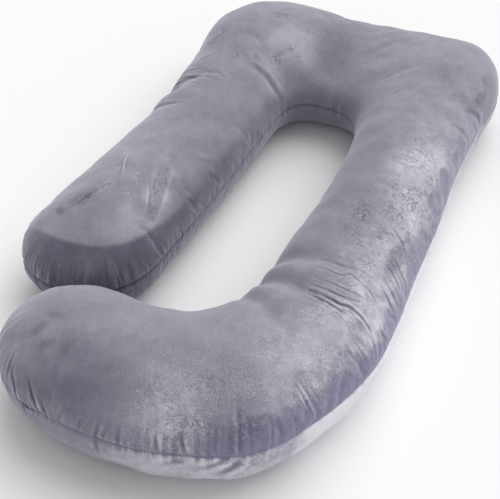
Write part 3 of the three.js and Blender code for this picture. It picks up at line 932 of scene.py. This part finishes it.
def crease_marks(points, panel):
    """The heights of a panel's creases, and their painted shading: painted shade in the grooves
    and painted highlights on the shoulders.
    """
    flat = points.reshape(-1, 3)
    heights, tones = np.zeros(len(flat)), np.zeros(len(flat))
    for crease in starmap(Crease, CREASES[panel.out]):
        line, _, _ = cloth_line(points, panel.shares, crease.line, CREASE_POINTS)
        room = CREASE_ROOM * crease.width * MM
        near = np.all((flat > line.min(0) - room) & (flat < line.max(0) + room), axis=1)
        here = flat[near][:, None]
        start, run = line[:-1], np.diff(line, axis=0)
        part = ((here - start) * run).sum(-1) / np.maximum((run**2).sum(-1), TINY)
        part = np.clip(part, 0, 1)
        away = np.linalg.norm(here - start - part[..., None] * run, axis=-1)
        closest = away.argmin(axis=1)
        pick = np.arange(len(away)), closest
        along = (closest + part[pick]) / len(run)
        away = away[pick] / (crease.width * MM)
        rise = CREASE_START + (1 - CREASE_START) * ease(along, 0, CREASE_STARTS_BY)
        fade = (1 - along**2) * rise
        groove, beside = bell(away), bell((away - SHOULDER_AT) / SHOULDER_WIDTH)
        heights[near] += crease.depth * MM * fade * (crease.shoulder * beside - groove)
        tones[near] += crease.tone * fade * (groove - SHOULDER_HIGHLIGHT * beside)
    return heights.reshape(panel.shares.shape), tones.reshape(panel.shares.shape)


def patch_amounts(patch, points, shares, ways, rag):
    """What a patch adds at each point of its panel."""
    centre, row, column = cloth_line(points, shares, [(patch.share, patch.girth)] * 2, 1)
    run, side = (way[round(row[0]), round(column[0])] for way in ways)
    run = run / np.linalg.norm(run)
    side = side - run * (side @ run)
    side = side / np.linalg.norm(side)
    turn = math.radians(patch.turn)
    first = run * math.cos(turn) + side * math.sin(turn)
    second = side * math.cos(turn) - run * math.sin(turn)
    axes = ((first, patch.length), (second, patch.width),
            (np.cross(first, second), max(patch.width, PATCH_THICKNESS)))
    here = (points - centre[0]) / MM * 2
    power = CRISP_POWER if patch.soft < CRISP else OVAL_POWER
    oval = sum(np.abs((here @ way) / size) ** power for way, size in axes)
    rim = oval ** (1 / power) + rag * min(1, 2 * patch.soft)
    return patch.amount * (1 - ease(rim, 1 - patch.soft, 1 + patch.soft / 2))


def patch_sums(points, panel):
    """The sums of a panel's patches at each of its points, by the value that they change."""
    ways = np.gradient(points, axis=0), np.gradient(points, axis=1)
    rag = sum(RAG * ripples(points, *wave) for wave in RAG_WAVES)
    sums = {name: np.zeros(panel.shares.shape) for name in PATCHED}
    for name, total in sums.items():
        for patch in starmap(Patch, PATCHES.get((name, panel.out), ())):
            total += patch_amounts(patch, points, panel.shares, ways, rag)
    return sums


def raised_cloth(points, panel, sizes):
    """A panel's points with its gathers, creases and lumps, their relief, and the creases' painted
    shading.
    """
    gathers = gather_heights(points, panel, GATHER_SEEDS[panel.out])
    lumps = ripples(points, LUMP_WAVE, LUMP_SEEDS[panel.out])
    lumps = lumps * ease(panel.away, 0, LUMP_START)
    creases, crease_shading = crease_marks(points, panel)
    relief = gathers * sizes.gathers + creases
    raised = relief + lumps * sizes.lumps
    points = points + grid_normals(points) * panel.out * raised[..., None]
    points[..., 2] = np.maximum(points[..., 2], 0)
    return points, relief, crease_shading


def cloth_runs(points, panel):
    """How far along and across the tube each point lies, and how far along and from the seam."""
    girth = np.linalg.norm(np.diff(points, axis=1), axis=-1).cumsum(axis=1)
    girth = np.pad(girth, ((0, 0), (1, 0)))
    girth -= girth[:, [girth.shape[1] // 2]]
    lengths = np.linalg.norm(np.diff(panel.seam.points, axis=0), axis=1).cumsum()
    along = np.interp(panel.stitch, np.arange(len(lengths) + 1), np.append(0, lengths))
    return {name: np.stack([*ways, np.zeros_like(along)], axis=-1) for name, ways in (
        ("cloth_run", (panel.places.distance, girth)), ("seam_run", (along, panel.away)))}


def cloth_looks(points, panel, relief, crease_shading):
    """The values at each point of a panel that its velvet reads, by name."""
    out, places, shares, away, stitch, seam = panel
    looks = cloth_runs(points, panel) | patch_sums(points, panel)
    looks["relief"] = relief / RELIEF_UNIT
    looks["crushed"] = np.clip(looks["crushed"], 0, 1)

    # Painted shade where the cloth faces down beside the seam and in the seam's groove, added to
    # the nap with the creases' painted shading.
    reach, amount, soft = (beside_seam(stitch, seam, SHADES, field)
                           for field in ("reach", "amount", "soft"))
    shade = amount * (1 - ease(away / MM, reach * (1 - soft), reach * (1 + soft / 2)))
    seam_shade = SEAM_GROOVE_SHADE * bell(away / SEAM_GROOVE_SHADE_REACH)
    looks["nap"] = looks["nap"] + shade + crease_shading - seam_shade

    # Where the painted shading of the gathers and the painted pleat highlights lie.
    reach, depth = (beside_seam(stitch, seam, GATHERS, field) for field in ("reach", "depth"))
    looks["gather_shading"] = bell(away / MM / reach)
    looks["pleat_highlights"] = looks["gather_shading"] * ease(depth, *PLEATED_DEPTHS)
    if out == LOWER:
        looks["gather_shading"] = looks["gather_shading"] * (
            STREAKS_BELOW + (1 - STREAKS_BELOW) * bell(away / STREAKS_BELOW_REACH))

    outer = places.girth > 0
    looks["pale"] = np.interp(shares, PALE_SHARES, PALE_TONES) * (out == LOWER) * outer
    violet = np.interp(shares, VIOLET_SHARES, VIOLET_TONES)
    looks["violet"] = violet * (1 - ease(away, 0, VIOLET_REACH)) * outer
    return looks


def cloth_values(piece, name, values):
    """Stores a number or a vector for each point of a piece, which its material reads by name."""
    kind, field = ("FLOAT_VECTOR", "vector") if values.ndim == 3 else ("FLOAT", "value")
    attribute = piece.data.attributes.new(name, kind, "POINT")
    attribute.data.foreach_set(field, np.ascontiguousarray(values, dtype=np.float32).ravel())


class NodeBench:
    """Adds nodes to a material and links them."""

    def __init__(self, material, looks=None):
        material.use_nodes = True
        self.tree = material.node_tree
        self.surface = self.tree.nodes["Principled BSDF"]
        for name, value in (looks or {}).items():
            self.surface.inputs[name].default_value = value

    def add(self, kind, inputs=(), **settings):
        node = self.tree.nodes.new(kind)
        for name, value in settings.items():
            setattr(node, name, value)
        sockets = {socket.identifier: socket for socket in node.inputs}
        for name, value in dict(inputs).items():
            if isinstance(value, bpy.types.NodeSocket):
                self.tree.links.new(value, sockets[name])
            else:
                sockets[name].default_value = value
        return node

    def read(self, attribute, output="Fac"):
        return self.add("ShaderNodeAttribute", attribute_name=attribute).outputs[output]

    def sum(self, first, second, operation="ADD", clamp=False):
        inputs = {"Value": first, "Value_001": second}
        return self.add("ShaderNodeMath", inputs, operation=operation, use_clamp=clamp).outputs[0]

    def times(self, first, second):
        return self.sum(first, second, "MULTIPLY")

    def noise(self, place, scale, detail, roughness, distortion):
        inputs = {"Vector": place, "Scale": scale, "Detail": detail, "Roughness": roughness,
                  "Distortion": distortion}
        return self.add("ShaderNodeTexNoise", inputs).outputs["Fac"]

    def spread(self, value, low, high, at_low, at_high):
        inputs = {"Value": value, "From Min": low, "From Max": high, "To Min": at_low,
                  "To Max": at_high}
        node = self.add("ShaderNodeMapRange", inputs, interpolation_type="SMOOTHSTEP")
        return node.outputs["Result"]

    def mixed(self, share, first, second):
        inputs = {"Factor_Float": share, "A_Color": first, "B_Color": second}
        node = self.add("ShaderNodeMix", inputs, data_type="RGBA")
        return {socket.identifier: socket for socket in node.outputs}["Result_Color"]

    def stretched(self, place, scale):
        return self.add("ShaderNodeMapping", {"Vector": place, "Scale": scale}).outputs["Vector"]

    def speckle(self, place, kind, raised=None):
        """The tones of a noise, which the value raised lifts where it is given."""
        noise = self.noise(place, *kind[:4])
        if raised is not None:
            noise = self.sum(raised, noise)
        return self.spread(noise, *kind[4:])

    def thin_lines(self, place, kind):
        """The tones of thin wandering lines, which lie where a noise crosses its middle."""
        noise = self.noise(place, kind.scale, kind.detail, LINE_ROUGHNESS, kind.distortion)
        across = self.sum(self.sum(noise, -0.5), 0, "ABSOLUTE")
        return self.spread(across, 0, kind.width, kind.tone, kind.beside)

    def ramp(self, tone, stops):
        """Colours by tone, from pairs of a tone and its colour."""
        ramp = self.add("ShaderNodeValToRGB", {"Fac": tone})
        while len(ramp.color_ramp.elements) < len(stops):
            ramp.color_ramp.elements.new(0.5)
        for element, (position, colour) in zip(ramp.color_ramp.elements, stops):
            element.position = position
            element.color = (*colour, 1)
        return ramp.outputs["Color"]


def velvet_material(name, colours):
    """Velvet whose nap leans this way and that: soft drifts, brushed patches, flecks and grain.

    Its colour also holds painted shade in the creases, the gathers and beside the seam, and
    painted highlights on the ridges, the pleats and the bulges.
    """
    material = bpy.data.materials.new(name)
    bench = NodeBench(material, VELVET)
    place = bench.add("ShaderNodeTexCoord").outputs["Object"]
    run, seam_run = bench.read("cloth_run", "Vector"), bench.read("seam_run", "Vector")
    crushed, violet = bench.read("crushed"), bench.read("violet")

    mottle = bench.speckle(place, MOTTLE)
    grain = bench.times(bench.speckle(place, GRAIN), bench.spread(crushed, 0, 1, SMOOTH_GRAIN, 1))
    clusters = bench.times(bench.speckle(place, CLUSTERS), crushed)
    wisps = bench.times(bench.thin_lines(bench.stretched(run, WISP_STRETCH), WISPS), clusters)
    flecked = bench.sum(bench.times(clusters, CLUSTER_FLECKS), bench.read("marks"))
    flecks = bench.times(bench.speckle(place, FLECKS), flecked)
    flecks = bench.sum(flecks, bench.speckle(place, RAGGED, bench.read("ragged")))
    fibres = bench.times(bench.thin_lines(place, FIBRES), bench.speckle(place, FIBRE_SPOTS))
    fibres = bench.times(fibres, bench.read("fibres"))
    patchy = bench.speckle(place, PATCHY)
    # The painted shade and painted highlights of the gathers' folds.
    gather_shading = bench.speckle(bench.stretched(seam_run, STREAK_STRETCH), GATHER_SHADING_NOISE)
    gather_shading = bench.times(bench.times(gather_shading, bench.read("gather_shading")), patchy)
    # Painted highlights on the ridges of the pleats, with painted shade between them.
    pleat_highlights = bench.thin_lines(bench.stretched(seam_run, PLEAT_STRETCH), PLEAT_HIGHLIGHTS)
    pleat_highlights = bench.times(bench.times(pleat_highlights, bench.read("pleat_highlights")), patchy)

    # The nap's brushed patches with their painted highlights and shade, the painted shade beside
    # the seam and in the creases, painted highlights on the relief, and the painted shading of the
    # gathers and pleats.
    brushed = bench.sum(bench.read("nap"), bench.times(bench.read("relief"), RELIEF_SHADING))
    brushed = bench.sum(bench.sum(brushed, flecks), bench.sum(gather_shading, pleat_highlights))
    tone = bench.sum(brushed, MIDDLE_TONE)
    for part in (bench.speckle(place, DRIFT), mottle, grain, wisps, fibres):
        tone = bench.sum(tone, part)
    broken = bench.times(violet, bench.speckle(place, VIOLET_BREAKS))
    tone = bench.sum(tone, bench.times(broken, VIOLET_TONE), clamp=True)

    stops = [(position, getattr(colours, name)) for name, position in COLOUR_STOPS.items()]
    violet = bench.sum(bench.times(broken, BROKEN_VIOLET), bench.times(violet, 1 - BROKEN_VIOLET))
    violet = bench.times(violet, bench.spread(tone, *VIOLET_BY_TONE))
    tinted = bench.mixed(violet, bench.ramp(tone, stops), (*colours.violet, 1))
    paleness = bench.times(bench.sum(brushed, mottle), PALE_CONTRAST)
    paleness = bench.spread(bench.sum(bench.read("pale"), paleness), *PALE_SPREAD)
    paled = bench.mixed(paleness, tinted, (*colours.pale, 1))
    bench.tree.links.new(paled, bench.surface.inputs["Base Color"])

    pile = bench.sum(bench.sum(grain, pleat_highlights), bench.sum(wisps, bench.sum(flecks, gather_shading)))
    bump = bench.add("ShaderNodeBump", {**PILE_BUMP, "Height": pile})
    bench.tree.links.new(bump.outputs["Normal"], bench.surface.inputs["Normal"])
    return material


class PILLOW_OT_panels(bpy.types.Operator):
    """Cut, sew and fill the upper and the lower panel"""

    bl_idname = "pillow.panels"
    bl_label = "Upper and Lower Panels"

    def execute(self, context):
        sizes = context.scene.pillow_sizes
        upper, lower = filled_skin(SIM_GRID)
        upper, lower = fill_cover(upper, lower, sizes)
        places = panel_places(CLOTH_GRID)
        shares = places.distance / MIDDLE_LENGTH
        upper, lower = finer(upper, CLOTH_GRID), finer(lower, CLOTH_GRID)
        seam = seam_ring(upper, shares)
        velvet = velvet_material("velvet_plush", context.scene.velvet_colours)
        for name, points, out in (("upper_panel", upper, UPPER), ("lower_panel", lower, LOWER)):
            panel = Panel(out, places, shares, *nearest_stitches(points, seam.points), seam)
            points, relief, crease_shading = raised_cloth(points, panel, sizes)
            ids = np.arange(shares.size).reshape(shares.shape)
            piece = mesh_object(name, points.reshape(-1, 3), quad_faces(ids, out))
            piece.data.materials.append(velvet)
            for look, values in cloth_looks(points, panel, relief, crease_shading).items():
                cloth_values(piece, look, values)
            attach(piece, "root")
            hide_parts(NODE)
        return {"FINISHED"}


class PILLOW_OT_studio(bpy.types.Operator):
    """Lay the pale floor and set up the light and the camera"""

    bl_idname = "pillow.studio"
    bl_label = "Studio"

    def execute(self, context):
        look, scene = context.scene.studio_look, context.scene
        corners = np.array([(-1, -1, 0), (1, -1, 0), (1, 1, 0), (-1, 1, 0)]) * FLOOR_REACH
        floor = mesh_object("floor", corners, np.array([[0, 1, 2, 3]]))
        paper = bpy.data.materials.new("floor_paper")
        NodeBench(paper, {"Base Color": (*look.floor, 1), "Roughness": FLOOR_ROUGHNESS})
        floor.data.materials.append(paper)

        room = bpy.data.worlds.new("white_room")
        room.use_nodes = True
        walls = room.node_tree.nodes["Background"]
        walls.inputs["Color"].default_value = (1, 1, 1, 1)
        walls.inputs["Strength"].default_value = look.room
        scene.world = room

        key = bpy.data.objects.new("key_light", bpy.data.lights.new("key_light", "SUN"))
        key.data.angle = KEY_WIDTH
        key.data.energy = look.key
        key.rotation_euler = Vector(KEY_SIDE).to_track_quat("Z", "Y").to_euler()
        scene.collection.objects.link(key)

        scene.view_settings.view_transform = "Standard"
        camera = bpy.data.objects.new("camera", bpy.data.cameras.new("camera"))
        scene.collection.objects.link(camera)
        scene.camera = camera
        camera.data.lens = look.lens
        camera.location = CAMERA_PLACE
        camera.rotation_euler = CAMERA_TURN
        return {"FINISHED"}


class PILLOW_PT_sidebar(bpy.types.Panel):
    """The pillow's sizes, colours and pieces"""

    bl_label = "Pregnancy Pillow"
    bl_space_type = "VIEW_3D"
    bl_region_type = "UI"
    bl_category = "Pillow"

    def draw(self, context):
        for group, name in GROUPS.items():
            box = self.layout.box()
            for value in group.__annotations__:
                box.prop(getattr(context.scene, name), value)
        for operator in OPERATORS:
            self.layout.operator(operator.bl_idname)


GROUPS = {
    PillowSizes: "pillow_sizes", VelvetColours: "velvet_colours", StudioLook: "studio_look",
}
OPERATORS = (PILLOW_OT_panels, PILLOW_OT_studio)
CLASSES = (*GROUPS, *OPERATORS, PILLOW_PT_sidebar)


def register():
    for cls in CLASSES:
        bpy.utils.register_class(cls)
    for group, name in GROUPS.items():
        setattr(bpy.types.Scene, name, PointerProperty(type=group))


def unregister():
    for name in GROUPS.values():
        delattr(bpy.types.Scene, name)
    for cls in reversed(CLASSES):
        bpy.utils.unregister_class(cls)


def main():
    register()
    bpy.ops.pillow.panels()
    bpy.ops.pillow.studio()
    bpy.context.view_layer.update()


if __name__ == "__main__":
    main()
